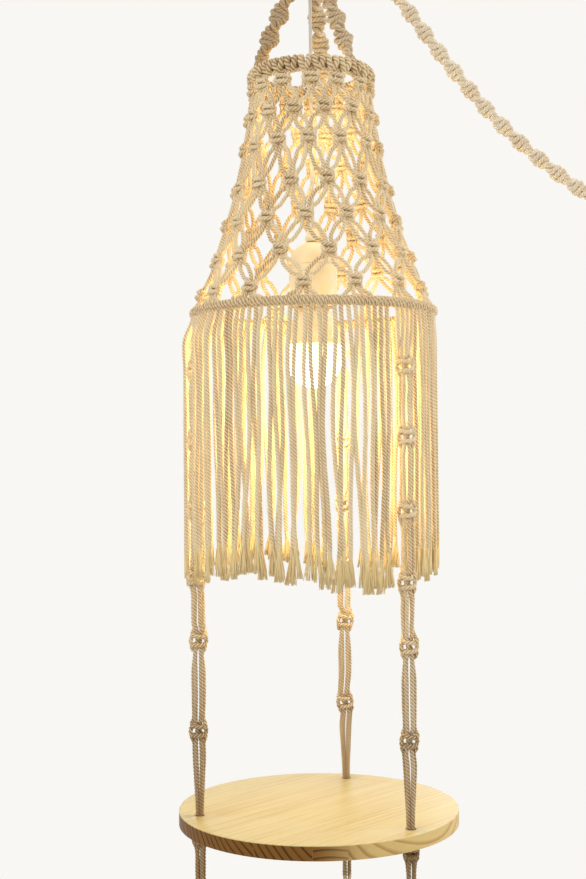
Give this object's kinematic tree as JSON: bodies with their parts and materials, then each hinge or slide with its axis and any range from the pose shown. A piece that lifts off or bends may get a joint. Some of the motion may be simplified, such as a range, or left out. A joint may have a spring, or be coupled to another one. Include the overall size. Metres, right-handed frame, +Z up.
{
  "type": "hanging rope shelf with lamp shade",
  "caption": "Round wooden board on knotted cotton ropes under a knotted cord lamp shade with a long fringe, hung from a ring, with a spiral-knotted swag rope.",
  "frame": {"origin": "the point of the hanging ring that rests on its hook, at the top inside of the ring", "axes": "+Z up along the pendant's axis, -Y towards the pictured front, +X towards the swag rope"},
  "size_m": [0.5052, 0.3, 1.1434],
  "materials": {
    "cotton": "twisted natural cotton cord",
    "steel": "plated",
    "pine": "sanded and clear coated",
    "white_plastic": "satin",
    "brass": "plain",
    "diffuser": "opal"
  },
  "bodies": {
    "hook_ring": {"hanging_ring": "steel", "swag_eye": "cotton", "swag_cord": "cotton", "swag_end_ring": "steel"},
    "pendant": {"cord_bundle": "cotton", "gathering_wrap": "cotton", "upper_hoop": "steel", "lower_hoop": "steel", "sinnet_right": "cotton", "sinnet_rear": "cotton", "sinnet_left": "cotton", "net_gore_1": "cotton", "net_gore_2": "cotton", "net_gore_3": "cotton", "net_gore_4": "cotton", "net_gore_5": "cotton", "net_gore_6": "cotton", "net_gore_7": "cotton", "fringe_panel_1": "cotton", "fringe_panel_2": "cotton", "fringe_panel_3": "cotton", "fringe_panel_4": "cotton", "fringe_panel_5": "cotton", "fringe_panel_6": "cotton", "fringe_panel_7": "cotton", "hanger_upper_right": "cotton", "hanger_upper_rear": "cotton", "hanger_upper_left": "cotton"},
    "lamp": {"lamp_flex": "white_plastic", "cord_grip": "white_plastic", "holder_cap": "white_plastic", "holder_skirt": "white_plastic", "contact_carrier": "white_plastic", "centre_contact": "brass", "threaded_sleeve": "brass"},
    "bulb_base": {"bulb_screw_cap": "steel"},
    "bulb_globe": {"bulb_housing": "white_plastic", "light_board": "white_plastic", "bulb_diffuser": "diffuser"},
    "rope_right": {"hanger_lower_right": "cotton"},
    "rope_rear": {"hanger_lower_rear": "cotton"},
    "rope_left": {"hanger_lower_left": "cotton"},
    "shelf": {"shelf_disc": "pine", "stopper_right": "cotton", "stopper_rear": "cotton", "stopper_left": "cotton"}
  },
  "joints": [
    {"name": "pendant_swing", "type": "hinge", "parent": "hook_ring", "child": "pendant", "pos_m": [0, 0, -0.047], "axis": [1, 0, 0], "range_deg": [-12, 12]},
    {"name": "lamp_swing", "type": "hinge", "parent": "pendant", "child": "lamp", "pos_m": [0, 0, -0.1044], "axis": [0, 1, 0], "range_deg": [-8, 8]},
    {"name": "bulb_lower", "type": "slide", "parent": "lamp", "child": "bulb_base", "axis": [0, 0, -1], "range_m": [0, 0.0145]},
    {"name": "bulb_turn", "type": "hinge", "parent": "bulb_base", "child": "bulb_globe", "pos_m": [0, 0, -0.46], "axis": [0, 0, -1], "range_deg": [0, 1440]},
    {"name": "shelf_sway", "type": "hinge", "parent": "pendant", "child": "rope_right", "pos_m": [0.09272, -0.09112, -0.84307], "axis": [0, 1, 0], "range_deg": [-12, 12]},
    {"name": "rope_rear_sway", "type": "hinge", "parent": "pendant", "child": "rope_rear", "pos_m": [0.03255, 0.12586, -0.84307], "axis": [0, 1, 0], "range_deg": [-12, 12]},
    {"name": "rope_left_sway", "type": "hinge", "parent": "pendant", "child": "rope_left", "pos_m": [-0.12527, -0.03474, -0.84307], "axis": [0, 1, 0], "range_deg": [-12, 12]},
    {"name": "shelf_level", "type": "hinge", "parent": "rope_right", "child": "shelf", "pos_m": [0.09272, -0.09112, -1.0102], "axis": [0, 1, 0], "range_deg": [-12, 12]}
  ],
  "couplings": [
    {"joint": "rope_rear_sway", "follows": "shelf_sway", "ratio": 1},
    {"joint": "rope_left_sway", "follows": "shelf_sway", "ratio": 1},
    {"joint": "shelf_level", "follows": "shelf_sway", "ratio": -1},
    {"joint": "bulb_lower", "follows": "bulb_turn", "m_per_rad": 0.000573}
  ]
}
